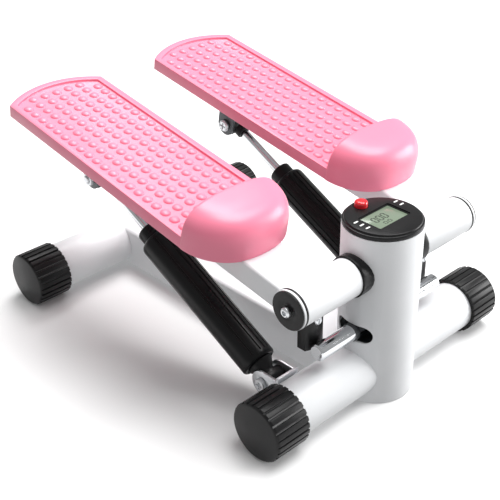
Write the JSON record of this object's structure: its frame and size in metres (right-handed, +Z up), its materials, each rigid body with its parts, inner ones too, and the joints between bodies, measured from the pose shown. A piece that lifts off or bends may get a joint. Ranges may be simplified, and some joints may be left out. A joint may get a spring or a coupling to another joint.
{
  "type": "mini stepper",
  "caption": "Mini stepper with two linked pedals on air cylinders, a white steel base with ribbed foot caps, and a round console on a short column.",
  "frame": {"origin": "centre of the footprint's box, on the floor", "axes": "+Z up, +Y from the console end to the pedals' rear, so the user stands facing -Y, and -X is on the user's right"},
  "size_m": [0.3318, 0.4252, 0.2326],
  "materials": {
    "white_paint": "white powder coat, fine texture",
    "pink_plastic": "pink moulded plastic, semi-gloss",
    "black_plastic": "black moulded plastic, semi-matt",
    "black_rubber": "black rubber, matt",
    "zinc_steel": "zinc plated",
    "chrome": "polished chrome",
    "dark_steel": "dark grey painted steel",
    "red_plastic": "red plastic, glossy",
    "lens_plastic": "clear plastic window over a grey-green display",
    "display": "grey-green display",
    "circuit_board": "green circuit board"
  },
  "bodies": {
    "frame": {"column_tube": "white_paint", "front_cross_tube": "white_paint", "rear_cross_tube": "white_paint", "spine_beam": "white_paint", "front_foot_cap_right": "black_rubber", "front_foot_cap_left": "black_rubber", "rear_foot_cap_right": "black_rubber", "rear_foot_cap_left": "black_rubber", "console_housing": "black_plastic", "lcd_window": "lens_plastic", "lcd_panel": "display", "circuit_board": "circuit_board", "coin_cell": "zinc_steel", "console_tray": "black_plastic", "axle_shaft": "zinc_steel", "right_axle_bush": "black_plastic", "left_axle_bush": "black_plastic", "axle_end_cap_right": "black_plastic", "axle_end_cap_left": "black_plastic", "axle_screw_right": "zinc_steel", "axle_screw_left": "zinc_steel", "right_clevis": "zinc_steel", "left_clevis": "zinc_steel", "right_clevis_bolt": "zinc_steel", "left_clevis_bolt": "zinc_steel", "right_clevis_nut": "zinc_steel", "left_clevis_nut": "zinc_steel", "rocker_shelf": "dark_steel", "rocker_pin": "zinc_steel"},
    "right_pedal": {"right_pivot_sleeve": "white_paint", "right_striker": "black_rubber", "right_striker_screw": "zinc_steel", "right_pedal_arm": "white_paint", "right_pedal_tread": "pink_plastic", "right_rod_bracket": "dark_steel", "right_rod_bolt": "zinc_steel", "right_rod_nut": "zinc_steel"},
    "left_pedal": {"left_pivot_sleeve": "white_paint", "left_striker": "black_rubber", "left_striker_screw": "zinc_steel", "left_pedal_arm": "white_paint", "left_pedal_tread": "pink_plastic", "left_rod_bracket": "dark_steel", "left_rod_bolt": "zinc_steel", "left_rod_nut": "zinc_steel"},
    "right_cylinder": {"right_cylinder_eye": "black_rubber", "right_cylinder_tube": "dark_steel", "right_cylinder_cover": "black_plastic", "right_cylinder_gland": "black_plastic"},
    "left_cylinder": {"left_cylinder_eye": "black_rubber", "left_cylinder_tube": "dark_steel", "left_cylinder_cover": "black_plastic", "left_cylinder_gland": "black_plastic"},
    "right_rod": {"right_piston_rod": "chrome", "right_rod_eye": "black_rubber"},
    "left_rod": {"left_piston_rod": "chrome", "left_rod_eye": "black_rubber"},
    "rocker": {"rocker_bar": "chrome", "rocker_hub": "black_plastic"},
    "button": {"reset_button": "red_plastic"}
  },
  "joints": [
    {"name": "right_pedal_hinge", "type": "hinge", "parent": "frame", "child": "right_pedal", "pos_m": [0, -0.1749, 0.1399], "axis": [1, 0, 0], "range_deg": [-12, 12]},
    {"name": "left_pedal_hinge", "type": "hinge", "parent": "frame", "child": "left_pedal", "pos_m": [0, -0.1749, 0.1399], "axis": [1, 0, 0], "range_deg": [-12.2, 12.2]},
    {"name": "right_cylinder_hinge", "type": "hinge", "parent": "frame", "child": "right_cylinder", "pos_m": [-0.0942, -0.1279, 0.0275], "axis": [1, 0, 0], "range_deg": [-11.8, 11.8]},
    {"name": "right_rod_slide", "type": "slide", "parent": "right_cylinder", "child": "right_rod", "axis": [0, 0.8902, 0.4556], "range_m": [-0.0255, 0.0255]},
    {"name": "left_cylinder_hinge", "type": "hinge", "parent": "frame", "child": "left_cylinder", "pos_m": [0.0942, -0.1279, 0.0275], "axis": [1, 0, 0], "range_deg": [-11.8, 11.8]},
    {"name": "left_rod_slide", "type": "slide", "parent": "left_cylinder", "child": "left_rod", "axis": [0, 0.8902, 0.4556], "range_m": [-0.0255, 0.0255]},
    {"name": "rocker_turn", "type": "hinge", "parent": "frame", "child": "rocker", "pos_m": [0, -0.1749, 0.077], "axis": [0, 0, 1], "range_deg": [-10.2, 10.2]},
    {"name": "button_press", "type": "slide", "parent": "frame", "child": "button", "axis": [0, 0, -1], "range_m": [0, 0.0012], "stiffness_N_per_m": 400}
  ],
  "couplings": [
    {"joint": "left_pedal_hinge", "follows": "right_pedal_hinge", "ratio": -1},
    {"joint": "right_cylinder_hinge", "follows": "right_pedal_hinge", "ratio": 0.96692},
    {"joint": "right_rod_slide", "follows": "right_pedal_hinge", "m_per_rad": 0.12075},
    {"joint": "left_cylinder_hinge", "follows": "right_pedal_hinge", "ratio": -0.96692},
    {"joint": "left_rod_slide", "follows": "right_pedal_hinge", "m_per_rad": -0.12075},
    {"joint": "rocker_turn", "follows": "right_pedal_hinge", "ratio": -0.82763}
  ]
}
